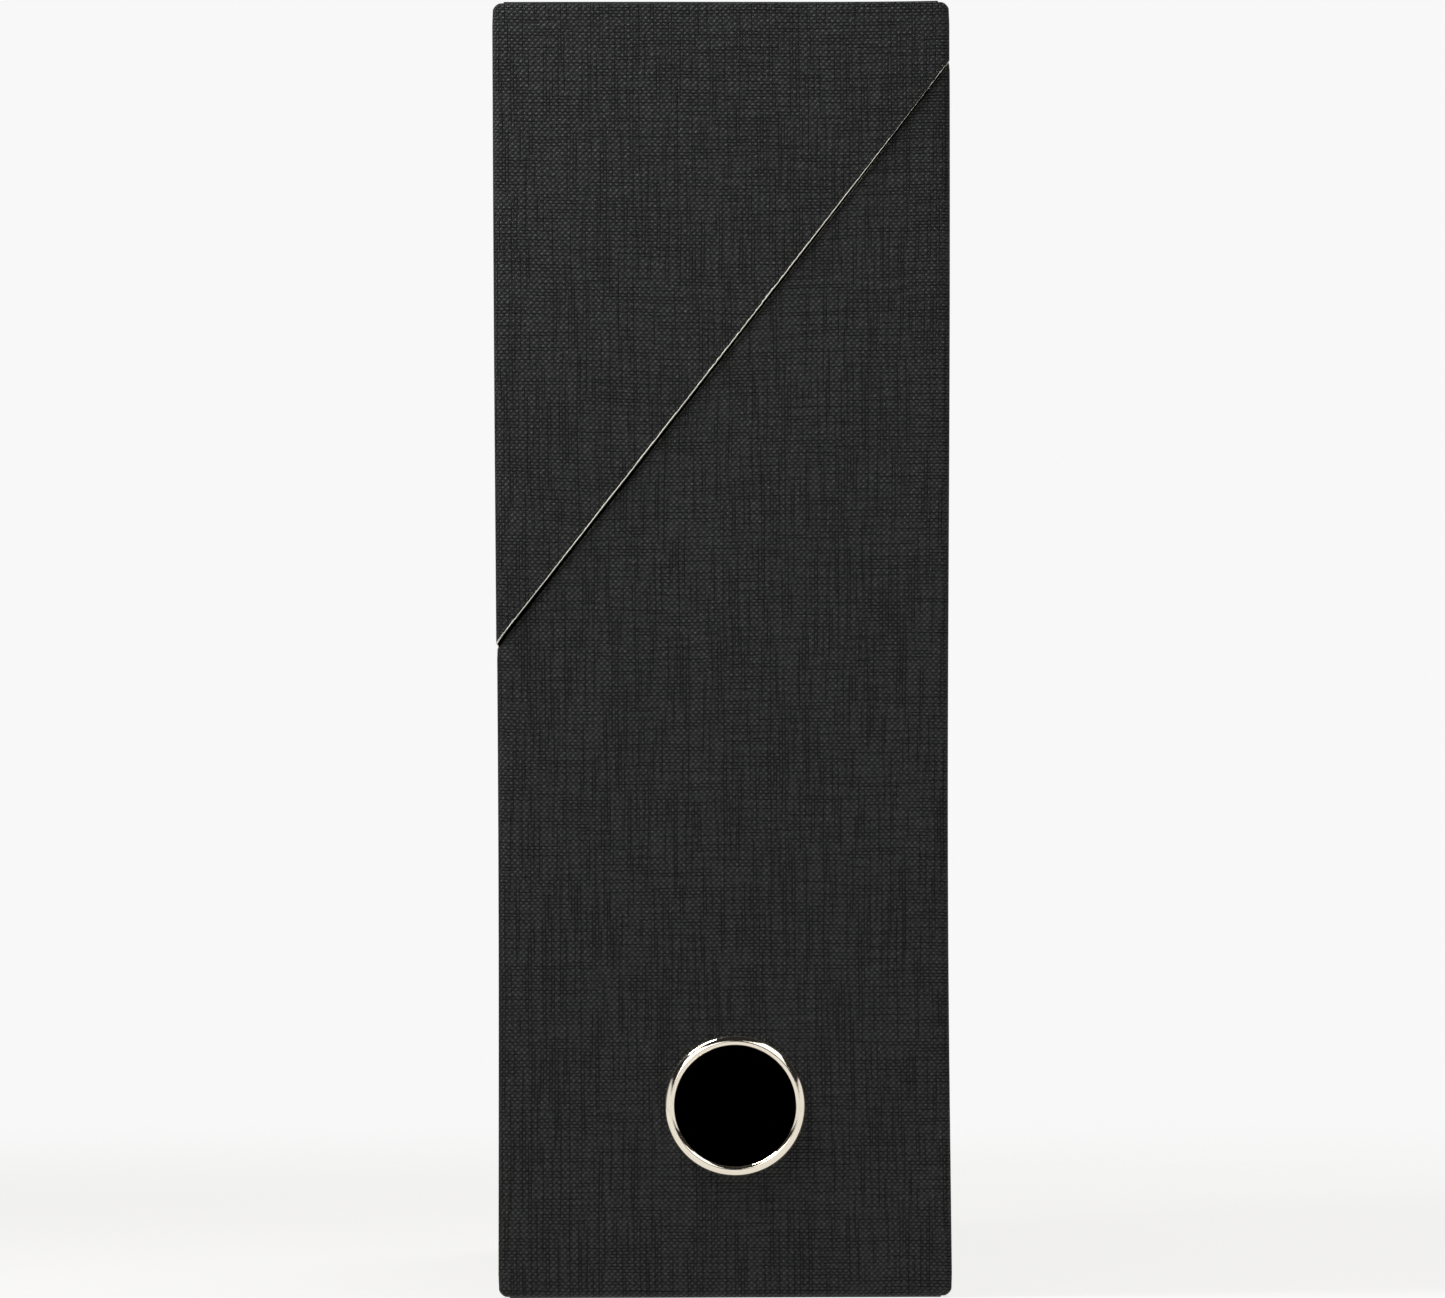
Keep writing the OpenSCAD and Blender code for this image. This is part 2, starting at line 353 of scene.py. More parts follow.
def scratch(g, uv):
    """A faint curved scratch on the spine, 0 to 1."""
    beside = g.math("ABSOLUTE", g.total(g.distance(uv, SCRATCH_MIDDLE), -SCRATCH_R))
    on_arc = g.band(beside, 0.10, 0.35, 1.0, 0.0)
    place = g.parts(uv)
    part = g.product(g.band(place[1], 108.0, 108.8), g.band(place[0], 10.5, 11.5, 1.0, 0.0))
    return g.product(on_arc, part)


def linen_paper():
    """The covering's outer face: black, paler on the crowns of the threads, partly from rubbing and
    partly as a painted highlight; the gaps between the threads are painted darker, as painted shade.
    """
    g = Material("linen_paper")
    uv = g.add("UVMap", settings={"uv_map": "weave"})
    relief = linen_relief(g, uv)
    patches = g.noise(uv, 0.035, 3.0)
    grain = g.noise(uv, 6.0, 3.0, 0.7)
    lint = g.band(g.noise(uv, 1.1, 2.0, 0.7), 0.77, 0.82)
    # Painted light: the relief sets the colour, so the crowns get a painted highlight (partly rubbed
    # paper) and the gaps painted shade, on top of the bump.
    shade = g.product(relief, g.band(patches, 0.3, 0.7, 0.93, 1.06))
    colour = g.blend(g.band(shade, -0.3, 1.0), (0.0026, 0.0029, 0.0028), (0.0345, 0.0368, 0.0350))
    colour = g.blend(g.product(lint, 0.4), colour, (0.11, 0.105, 0.095))
    colour = g.blend(g.product(scratch(g, uv), 0.35), colour, (0.045, 0.045, 0.042))
    rough = g.total(0.52, g.product(patches, 0.08), g.product(grain, 0.08), g.product(relief, -0.14))
    height = g.total(relief, g.product(grain, 0.10))
    normal = g.bump(height, 0.40 * MM)
    return g.finish(Base_Color=colour, Roughness=rough, Normal=normal, Specular_IOR_Level=0.16)


def paper_core():
    """The covering paper's inside, bare where the saw went through."""
    g = Material("paper_core")
    place = g.add("TexCoord", out=3)
    fibre = g.noise(place, 2600.0, 4.0, 0.7)
    soot = g.noise(place, 240.0, 3.0, 0.6)
    colour = g.blend(g.band(fibre, 0.3, 0.7), (0.70, 0.67, 0.57), (0.92, 0.90, 0.81))
    colour = g.blend(g.band(soot, 0.60, 0.78, 0.0, 0.35), colour, (0.16, 0.15, 0.13))
    return g.finish(Base_Color=colour, Roughness=0.85, Normal=g.bump(fibre, 0.03 * MM),
                    Specular_IOR_Level=0.3)


def greyboard(axis):
    """Pressed grey fibre in thin layers. axis is 0, 1 or 2, the way across the board."""
    g = Material("greyboard_" + "xyz"[axis])
    place = g.add("TexCoord", out=3)
    squash = [90.0, 90.0, 90.0]
    squash[axis] = 3600.0
    layers = g.noise(g.scale(place, tuple(squash)), 1.0, 3.0, 0.6)
    fibre = g.noise(place, 1500.0, 4.0, 0.75)
    fleck = g.band(g.noise(place, 620.0, 2.0, 0.6), 0.62, 0.70)
    pale = g.band(g.noise(place, 480.0, 1.0, 0.5), 0.66, 0.72)
    colour = g.blend(g.band(layers, 0.3, 0.7), (0.20, 0.175, 0.14), (0.36, 0.325, 0.265))
    colour = g.blend(g.product(fibre, 0.35), colour, (0.45, 0.41, 0.34))
    colour = g.blend(g.product(fleck, 0.7), colour, (0.07, 0.062, 0.055))
    colour = g.blend(g.product(pale, 0.6), colour, (0.62, 0.58, 0.50))
    height = g.total(g.product(layers, 0.7), fibre)
    return g.finish(Base_Color=colour, Roughness=0.9, Normal=g.bump(height, 0.08 * MM),
                    Specular_IOR_Level=0.25)


def lining_paper():
    """Plain black paper."""
    g = Material("lining_paper")
    place = g.add("TexCoord", out=3)
    fibre = g.noise(place, 1400.0, 4.0, 0.7)
    cloud = g.noise(place, 35.0, 3.0)
    colour = g.blend(g.band(fibre, 0.35, 0.75), (0.0055, 0.0055, 0.0058), (0.015, 0.015, 0.0155))
    rough = g.total(0.78, g.product(cloud, 0.15))
    return g.finish(Base_Color=colour, Roughness=rough, Normal=g.bump(fibre, 0.05 * MM),
                    Specular_IOR_Level=0.25)


def gummed_tape():
    """Brown kraft paper."""
    g = Material("gummed_tape")
    place = g.add("TexCoord", out=3)
    fibre = g.noise(place, 900.0, 4.0, 0.7)
    colour = g.blend(g.band(fibre, 0.3, 0.7), (0.20, 0.12, 0.055), (0.36, 0.235, 0.12))
    return g.finish(Base_Color=colour, Roughness=0.75, Normal=g.bump(fibre, 0.03 * MM))


CLOTH_PITCH = 0.6                                   # two threads of the book cloth, in mm


def book_cloth():
    """Black woven cotton."""
    g = Material("book_cloth")
    uv = g.add("UVMap", settings={"uv_map": "weave"})
    place = g.parts(uv)
    su = g.math("SINE", g.product(place[0], 2 * math.pi / CLOTH_PITCH))
    sv = g.math("SINE", g.product(place[1], 2 * math.pi / CLOTH_PITCH))
    weave = g.total(g.product(su, sv, 0.5), 0.5)
    fuzz = g.noise(uv, 5.0, 3.0, 0.7)
    colour = g.blend(g.total(g.product(weave, 0.6), g.product(fuzz, 0.4)),
                     (0.006, 0.006, 0.006), (0.030, 0.030, 0.029))
    height = g.total(weave, g.product(fuzz, 0.4))
    return g.finish(Base_Color=colour, Roughness=0.88, Normal=g.bump(height, 0.08 * MM),
                    Sheen_Weight=0.2)


def nickel_plate():
    """Polished plating, a little warm, with fine rubbing and a few pits."""
    g = Material("nickel_plate")
    place = g.add("TexCoord", out=3)
    cloud = g.noise(place, 180.0, 3.0)
    rub = g.noise(place, 2400.0, 3.0, 0.7)
    pits = g.band(g.noise(place, 1500.0, 2.0), 0.70, 0.76)
    colour = g.blend(g.product(cloud, 0.6), (0.86, 0.79, 0.67), (0.80, 0.725, 0.60))
    colour = g.blend(g.product(pits, 0.35), colour, (0.32, 0.28, 0.22))
    rough = g.total(0.045, g.product(rub, 0.06), g.product(pits, 0.15))
    height = g.total(cloud, g.product(rub, 0.03))
    return g.finish(Base_Color=colour, Metallic=1.0, Roughness=rough,
                    Normal=g.bump(height, 0.05 * MM))


LINEN = linen_paper()
CORE = paper_core()
BOARD_X = greyboard(0)
BOARD_Y = greyboard(1)
BOARD_Z = greyboard(2)
LINING = lining_paper()
TAPE = gummed_tape()
CLOTH = book_cloth()
NICKEL = nickel_plate()

# ---- The shape of the covering ----


def around(u):
    """Centre and outward direction of the outline at u: the outline is EDGE_R out from it."""
    s = (u + FLAT_X) % GIRTH
    for quarter in range(4):
        flat = FLAT_X if quarter % 2 == 0 else FLAT_Y
        reach = FLAT_Y if quarter % 2 == 0 else FLAT_X
        angle = quarter * math.pi / 2
        out = Vector((math.sin(angle), -math.cos(angle)))
        along = Vector((math.cos(angle), math.sin(angle)))
        if s <= 2 * flat:
            return out * reach + along * (s - flat), out
        s -= 2 * flat
        if s <= CORNER:
            turn = s / EDGE_R
            centre = out * reach + along * flat
            return centre, out * math.cos(turn) + along * math.sin(turn)
        s -= CORNER
    return Vector((-FLAT_X, -FLAT_Y)), Vector((0, -1))


def upright(v):
    """Reach, height and outward direction of the covering's section at v."""
    low = LOW + EDGE_R
    high = HIGH - EDGE_R
    if low <= v <= high:
        return EDGE_R, v, 1.0, 0.0
    end, sign = (low, -1) if v < low else (high, 1)
    turn = abs(v - end) / EDGE_R
    if turn <= math.pi / 2:
        return (EDGE_R * math.cos(turn), end + sign * EDGE_R * math.sin(turn),
                math.cos(turn), sign * math.sin(turn))
    return -(turn - math.pi / 2) * EDGE_R, end + sign * EDGE_R, 0.0, float(sign)


LAP_EDGE = GIRTH / 2 - 38 * MM                      # the lap's free edge, on the rear
LAP_STEP = 0.3 * MM                                 # how wide the step at that edge is
LAP_W = 14 * MM
LAP_FADE = 6 * MM
LAP_RISE = 0.11 * MM


def rear_lap(u):
    """How far the covering lies under its nominal face: it laps over itself on the rear."""
    behind = u - LAP_EDGE                           # from the lap's edge, towards the hinge side
    lap = smooth(behind / LAP_STEP + 0.5) * (1 - smooth((behind - LAP_W) / LAP_FADE))
    on_rear = FLAT_X - 2 * MM - abs(u - GIRTH / 2)
    return LAP_RISE * smooth(on_rear / (4 * MM)) * (1 - lap)


def on_box(u, v, depth):
    """The point that lies depth under the straight box's covering at (u, v)."""
    centre, out = around(u)
    reach, z, out_share, up_share = upright(v)
    place = centre + out * (reach - depth * out_share)
    if reach < 0:                                   # the turn-ins meet in a mitre at each corner
        x_room = FLAT_X + reach
        y_room = FLAT_Y + reach
        place = Vector((max(-x_room, min(x_room, place.x)), max(-y_room, min(y_room, place.y))))
    return Vector((place.x, place.y, z - depth * up_share))


FINE = 0.26 * MM                                    # steps of the covering's mesh
COARSE = 4 * MM


def stations(marks, fine=FINE, coarse=COARSE):
    """Values from the first mark to the last. The step in each gap is fine or coarse, as its
    mark says: each mark is (value, is the gap after it fine)."""
    values = [marks[0][0]]
    for (a, is_fine), (b, _) in zip(marks, marks[1:]):
        count = max(1, math.ceil((b - a) / (fine if is_fine else coarse) - 1e-6))
        values += [a + (b - a) * (k + 1) / count for k in range(count)]
    return values


V_TURN_LOW = LOW + EDGE_R - CORNER - (TURN_IN - EDGE_R)
V_TURN_HIGH = HIGH - EDGE_R + CORNER + (TURN_IN - EDGE_R)


def v_stations(with_low, with_high, extra=()):
    """Stations up a wall, with the turn-in at its lower and upper end if asked for."""
    low = LOW + EDGE_R
    high = HIGH - EDGE_R
    marks = []
    if with_low:
        marks += [(V_TURN_LOW, False), (low - CORNER, True)]
    marks += [(low, False)]
    marks += list(extra)
    marks += [(high, True)]
    if with_high:
        marks += [(high + CORNER, False), (V_TURN_HIGH, False)]
    return stations(marks)


def new_object(name, mesh, *materials):
    """Puts a mesh into the scene."""
    piece = bpy.data.objects.new(name, mesh)
    bpy.context.scene.collection.objects.link(piece)
    for material in materials:
        mesh.materials.append(material)
    return piece


def finish_mesh(bm, name, *materials):
    """A mesh object with smooth faces and sharp corners."""
    mesh = bpy.data.meshes.new(name)
    bm.to_mesh(mesh)
    bm.free()
    mesh.shade_smooth()
    mesh.set_sharp_from_angle(angle=math.radians(38))
    return new_object(name, mesh, *materials)


def clean(bm, distance=0.002 * MM):
    """Merges points that fall together, as where the turn-ins meet."""
    bmesh.ops.remove_doubles(bm, verts=bm.verts, dist=distance)
    bmesh.ops.dissolve_degenerate(bm, edges=bm.edges, dist=distance)


def split(bm, place, normal, **clear):
    """Adds edges where a plane crosses a mesh. clear is passed on to bisect_plane."""
    every = bm.verts[:] + bm.edges[:] + bm.faces[:]
    bmesh.ops.bisect_plane(bm, geom=every, plane_co=place, plane_no=normal, dist=1e-7, **clear)


EDGE_PRESS = 0.7 * MM                               # the body's sawn edge is pressed in
EDGE_REACH = 2.0 * MM
EDGE_SIDE = 0.3                                     # the share of it on the two wide sides


def press_edge(bm, cut):
    """Rounds the body's sawn edge over a narrow strip, towards the inside of the box."""
    place, normal = cut_plane(cut)
    for share in (0.25, 0.5, 0.75, 1.0):
        split(bm, place - normal * EDGE_REACH * share, normal)
    for vert in bm.verts:
        near = 1 + (vert.co - place).dot(normal) / EDGE_REACH
        if near > 0:
            x = max(-FLAT_X, min(FLAT_X, vert.co.x))
            y = max(-FLAT_Y, min(FLAT_Y, vert.co.y))
            out = (vert.co - Vector((x, y, vert.co.z))).normalized()
            press = EDGE_PRESS * near * near
            vert.co -= Vector((out.x * EDGE_SIDE, out.y, out.z)) * press


def saw(bm, cut, keep_above):
    """Cuts a closed mesh along one face of the saw cut, and closes it with bare core."""
    place, normal = cut_plane(cut)
    split(bm, place, normal, clear_outer=not keep_above, clear_inner=keep_above)
    edges = [e for e in bm.edges if e.is_boundary]
    filled = bmesh.ops.holes_fill(bm, edges=edges, sides=0)["faces"]
    for face in filled:
        face.material_index = 1
    bmesh.ops.triangulate(bm, faces=filled)
    if not keep_above:
        press_edge(bm, cut)


def closed_grid(us, vs, point, rim, flip=False, weave_start=0):
    """A closed sheet over the stations us and vs. point(u, v, layer) gives its points, on the
    outer face for layer 0 and on the inner face for layer 1. rim is the material of its narrow
    faces, flip turns all faces over, and weave_start is where its weave starts, in mm."""
    bm = bmesh.new()
    weave = bm.loops.layers.uv.new("weave")
    layers = []
    for layer in (0, 1):
        layers.append([[bm.verts.new(point(u, v, layer)) for v in vs] for u in us])

    def quad(corners, material):
        if flip:
            corners = corners[::-1]
        face = bm.faces.new([layers[k][i][j] for k, i, j in corners])
        face.material_index = material
        for loop, (_, i, j) in zip(face.loops, corners):
            loop[weave].uv = (us[i] / MM, vs[j] / MM + weave_start)

    last_u = len(us) - 1
    last_v = len(vs) - 1
    for i in range(last_u):
        for j in range(last_v):
            quad([(0, i, j), (0, i + 1, j), (0, i + 1, j + 1), (0, i, j + 1)], 0)
            quad([(1, i, j + 1), (1, i + 1, j + 1), (1, i + 1, j), (1, i, j)], 1)
        quad([(1, i, 0), (1, i + 1, 0), (0, i + 1, 0), (0, i, 0)], rim)
        quad([(0, i, last_v), (0, i + 1, last_v), (1, i + 1, last_v), (1, i, last_v)], rim)
    for j in range(last_v):
        quad([(0, 0, j), (0, 0, j + 1), (1, 0, j + 1), (1, 0, j)], rim)
        quad([(1, last_u, j), (1, last_u, j + 1), (0, last_u, j + 1), (0, last_u, j)], rim)
    return bm


def sheet(name, us, vs, depth, thick, lid, cut=None, materials=None):
    """A sheet of the covering over the stations us and vs. depth and thick are functions of
    (u, v): the outer face's depth and the paper's thickness. lid is as in settle_mesh."""

    def point(u, v, layer):
        return on_box(u, v, depth(u, v) + layer * thick(u, v))

    bm = closed_grid(us, vs, point, 1)
    clean(bm)
    if cut:
        saw(bm, cut, lid == 1)
    settle_mesh(bm, lid)
    return finish_mesh(bm, name, *(materials or (LINEN, CORE)))


# ---- Pieces of the covering ----

SPINE_END = FLAT_X + CORNER + SIDE_LAP
SIDE_END = FLAT_X + CORNER + 2 * FLAT_Y - SIDE_LAP
REAR_END = GIRTH - SIDE_END
HINGE_SIDE_END = GIRTH - SPINE_END


def u_stations(start, end):
    """Stations between two places on the wide sides' flats, close together round the edges."""
    corners = []
    for quarter in range(-1, 4):
        flats = [2 * (FLAT_X if k % 2 == 0 else FLAT_Y) + CORNER for k in range(quarter)]
        begin = -FLAT_X + sum(flats) if quarter >= 0 else -FLAT_X - CORNER - 2 * FLAT_Y
        length = 2 * (FLAT_X if quarter % 2 == 0 else FLAT_Y)
        corners.append((begin + length, begin + length + CORNER))
    marks = [(start, False)]
    for first, second in corners:
        if start < first < end:
            marks += [(first, True), (second, False)]
    marks.append((end, False))
    return stations(marks)


def in_stay(u):
    """Is u over the gummed tape of an upright edge?"""
    centre = around(u)[0]
    return abs(centre.x) > FLAT_X - STAY_W and abs(centre.y) > FLAT_Y - STAY_W


def wrap_thick(u, v):
    """The paper is thinner over the upright edges' tape and beside the rear's lap."""
    return (WRAP_T - TAPE_T if in_stay(u) else WRAP_T) - rear_lap(u)


def wrap_depth(u, v):
    return rear_lap(u)


def covering(name, start, end, body, z_low=None):
    """One side's covering, on the lid or the body. The lid's starts at z_low and is sawn off."""
    us = u_stations(start, end)
    if body == "lid":
        vs = v_stations(False, True)
        vs = [z_low] + [v for v in vs if v > z_low]
        piece = sheet(name, us, vs, wrap_depth, wrap_thick, 1, LID_CUT)
    else:
        piece = sheet(name, us, v_stations(True, False), wrap_depth, wrap_thick, 0, BODY_CUT)
    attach(piece, body)
    return piece


SPARE = 8 * MM                                      # the lid's sheets start this far under the cut
UNDER_CUT = HINGE_Z - SPARE
UNDER_LIP = BODY_CUT[0] * HALF_W + BODY_CUT[1] - SPARE

body_front = covering("body_cover_spine", -SPINE_END, SPINE_END, "body")
covering("body_cover_far_side", SPINE_END, SIDE_END, "body")
covering("body_cover_rear", SIDE_END, REAR_END, "body")
lid_front = covering("lid_cover_spine", -SPINE_END, SPINE_END, "lid", UNDER_CUT)
covering("lid_cover_lip", SPINE_END, SIDE_END, "lid", UNDER_LIP)
covering("lid_cover_rear", SIDE_END, REAR_END, "lid", UNDER_CUT)
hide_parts("body_wrap_paper")
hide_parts("lid_wrap_paper")

RING_X = (ring_lo.x + ring_hi.x) / 2
RING_Z = (ring_lo.z + ring_hi.z) / 2
BORE_R = ring_mount["dims"]["r_mm"] * MM
RING_T = 0.4 * MM                                   # the ring's sheet steel
HOLE_R = BORE_R + RING_T + 0.15 * MM


def drill(piece, radius, reach):
    """Cuts the finger ring's hole through a piece of the spine."""
    bpy.ops.mesh.primitive_cylinder_add(vertices=96, radius=radius, depth=reach)
    cutter = bpy.context.object
    cutter.rotation_euler = (math.pi / 2, 0, 0)
    cutter.location = (RING_X, -HALF_D, RING_Z)
    hole = piece.modifiers.new("hole", "BOOLEAN")
    hole.object = cutter
    hole.solver = "EXACT"
    bpy.context.view_layer.update()
    seen = piece.evaluated_get(bpy.context.evaluated_depsgraph_get())
    mesh = bpy.data.meshes.new_from_object(seen)
    piece.modifiers.clear()
    piece.data = mesh
    bpy.data.objects.remove(cutter)


drill(body_front, HOLE_R, 12 * MM)


def hinge_lid_share(z):
    """0 on the body up to 1 on the lid, across the hinge line."""
    return smooth((z - HINGE_Z) / (2 * MM) + 0.5)


def crease(u, v):
    """The covering dips a little into the saw cut along the fold."""
    near = (v - HINGE_Z) / (0.45 * MM)
    return 0.3 * MM * math.exp(-near * near)


def hinge_thick(u, v):
    """The paper is thinner over the hinge tape and the upright edges' tape."""
    taped = TAPE_LOW < v < TAPE_HIGH
    return WRAP_T - TAPE_T if taped or in_stay(u) else WRAP_T


fold_marks = [(TAPE_LOW, False), (HINGE_Z - 2 * FOLD, True), (HINGE_Z + 2 * FOLD, False),
              (TAPE_HIGH, False)]


def across_hinge(piece):
    """Bakes the piece's placing into its points; the piece is attached to neither body."""
    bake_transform(piece)


hinge_us = u_stations(REAR_END, HINGE_SIDE_END)
hinge_vs = v_stations(True, True, fold_marks)
hinge_cover = sheet("hinge_side_cover", hinge_us, hinge_vs, crease, hinge_thick, hinge_lid_share)
across_hinge(hinge_cover)

tape_half = tape_hi.y
tape_middle = (REAR_END + HINGE_SIDE_END) / 2
tape_us = stations([(tape_middle - tape_half, False), (tape_middle + tape_half, False)], MM, 6 * MM)
tape_vs = stations(fold_marks)
hinge_cloth = sheet("hinge_cloth", tape_us, tape_vs,
                    lambda u, v: crease(u, v) + WRAP_T - TAPE_T, lambda u, v: TAPE_T,
                    hinge_lid_share, materials=(CLOTH, CLOTH))
across_hinge(hinge_cloth)
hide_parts("hinge_tape_lower_leaf", "hinge_tape_upper_leaf")

# ---- Sheets pasted over both ends ----

SHEET_WEAVE = 1000                                  # in mm: the sheets have a weave of their own


def end_sheet(name, node, face_z, body):
    """The sheet over one end: its rim lies on the turn-ins, and its middle sinks between them."""
    rim = TURN_IN - (HALF_W - SHEET_X)
    ease = 0.8 * MM                                 # half the width of the step down to the middle
    lid = int(body == "lid")
    up = 1 if lid else -1

    def cuts(half):
        marks = [(-half, False), (-half + rim - ease, True), (-half + rim + ease, False)]
        marks += [(half - rim - ease, True), (half - rim + ease, False), (half, False)]
        return stations(marks, 0.3 * MM, 5 * MM)

    def point(x, y, layer):
        inside = min(SHEET_X - abs(x), SHEET_Y - abs(y)) - rim
        sunk = WRAP_T * smooth(inside / (2 * ease) + 0.5)
        return x, y, face_z - up * (sunk + layer * SHEET_T)

    bm = closed_grid(cuts(SHEET_X), cuts(SHEET_Y), point, 0, up < 0, SHEET_WEAVE)
    settle_mesh(bm, lid)
    piece = finish_mesh(bm, name, LINEN, CORE)
    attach(piece, body)
    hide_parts(node)


end_sheet("base_end_sheet", "base_sheet", 0.0, "body")
end_sheet("top_end_sheet", "lid_top_sheet", BOX_H, "lid")

# ---- Bare paper core along the saw cut ----


def jitter(u, size, seed):
    """Even noise from -1 to 1 along u, with waves about size long."""
    return noise.noise(Vector((u / size, seed, 0.5))) * 2


def spine_x(u):
    """The outline's X at u."""
    centre, out = around(u)
    return centre.x + out.x * EDGE_R


def lid_edge_width(u):
    """Widest near the hinge, ragged about the spine's middle, and thin towards the lip."""
    x = spine_x(u)
    wide = 0.42 - 0.35 * smooth((x - 14 * MM) / (42 * MM))
    wide -= 0.08 * smooth((-30 * MM - x) / (25 * MM))
    ragged = 0.05 + 0.10 * math.exp(-(((x - 6 * MM) / (9 * MM)) ** 2))
    wide += ragged * jitter(u, 0.55 * MM, 3.1) + 0.05 * jitter(u, 4 * MM, 9.2)
    return max(0.05, wide) * MM


# The strip's section: the share of its width from the cut, and the depth under the paper's face.
BARE_SECTION = ((-0.004, WRAP_T * 0.9), (-0.004, 0.05 * MM), (0.35, -0.012 * MM),
                (0.75, -0.012 * MM), (1.0, 0.02 * MM), (1.0, 0.12 * MM))


def lid_bare_edge():
    """The ragged strip of bare core along the lid's side of the cut."""
    slope, start = LID_CUT

    def cut_v(u):
        return slope * spine_x(u) + start

    first = -SPINE_END
    last = REAR_END
    count = round((last - first) / FINE)
    step = 0.05 * MM                                # over which the cut's slope is taken
    bm = bmesh.new()
    weave = bm.loops.layers.uv.new("weave")
    rings = []
    for k in range(count + 1):
        u = first + (last - first) * k / count
        rise = (cut_v(u + step) - cut_v(u - step)) / (2 * step)
        length = math.hypot(1, rise)
        ring = []
        for share, deep in BARE_SECTION:
            w = share * lid_edge_width(u)
            place = on_box(u - rise / length * w, cut_v(u) + 1 / length * w, rear_lap(u) + deep)
            ring.append(bm.verts.new(place))
        rings.append(ring)
    for a, b in zip(rings, rings[1:]):
        for n, _ in enumerate(BARE_SECTION):
            m = (n + 1) % len(BARE_SECTION)
            face = bm.faces.new([a[n], a[m], b[m], b[n]])
            for loop in face.loops:
                loop[weave].uv = (0, 0)
    bm.faces.new(rings[0][::-1])
    bm.faces.new(rings[-1])
    bmesh.ops.recalc_face_normals(bm, faces=bm.faces)
    settle_mesh(bm, 1)
    piece = finish_mesh(bm, "lid_bare_edge", CORE)
    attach(piece, "lid")


lid_bare_edge()

# ---- Boards, tape and lining, settled like the covering ----


NEAR_CUT = (-40, -15, 4, 9, 16, 26, 42)             # mm under the cut, where the solids may bend


def fitted(node, material, body):
    """A copy of a CAD solid, bent as this box has settled."""
    lid = int(body == "lid")
    bm = bmesh.new()
    bm.from_mesh(frame["nodes"][node].data)
    bmesh.ops.remove_doubles(bm, verts=bm.verts, dist=0.001 * MM)
    low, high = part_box(node)
    rows = max(1, round((high.z - low.z) / (16 * MM)))
    columns = max(1, round((high.x - low.x) / (15 * MM)))
    for k in range(1, rows):
        split(bm, Vector((0, 0, low.z + (high.z - low.z) * k / rows)), Vector((0, 0, 1)))
    for k in range(1, columns):
        split(bm, Vector((low.x + (high.x - low.x) * k / columns, 0, 0)), Vector((1, 0, 0)))
    place, normal = cut_plane(BODY_CUT)
    for away in NEAR_CUT:
        split(bm, place - normal * away * MM, normal)
    if not lid:
        press_edge(bm, BODY_CUT)
    settle_mesh(bm, lid)
    piece = finish_mesh(bm, node + "_fitted", material)
    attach(piece, body)
    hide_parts(node)


fitted("base_board", BOARD_Z, "body")
fitted("front_board", BOARD_Y, "body")
fitted("rear_board", BOARD_Y, "body")
fitted("hinge_side_board", BOARD_X, "body")
fitted("far_side_board", BOARD_X, "body")
fitted("lid_top_board", BOARD_Z, "lid")
fitted("lid_front_board", BOARD_Y, "lid")
fitted("lid_rear_board", BOARD_Y, "lid")
fitted("lid_hinge_side_board", BOARD_X, "lid")
fitted("lid_lip_board", BOARD_X, "lid")
fitted("body_corner_stays", TAPE, "body")
fitted("base_edge_stays", TAPE, "body")
fitted("lid_corner_stays", TAPE, "lid")
fitted("lid_edge_stays", TAPE, "lid")
fitted("body_wall_lining", LINING, "body")
fitted("base_lining", LINING, "body")
fitted("lid_wall_lining", LINING, "lid")
fitted("lid_top_lining", LINING, "lid")

# ---- Finger ring ----


def arc(centre, radius, start, end, count):
    """Points from one angle to another, in degrees, about centre, as (radius, height)."""
    points = []
    for k in range(count + 1):
        angle = math.radians(start + (end - start) * k / count)
        points.append((centre[0] + radius * math.cos(angle), centre[1] + radius * math.sin(angle)))
    return points


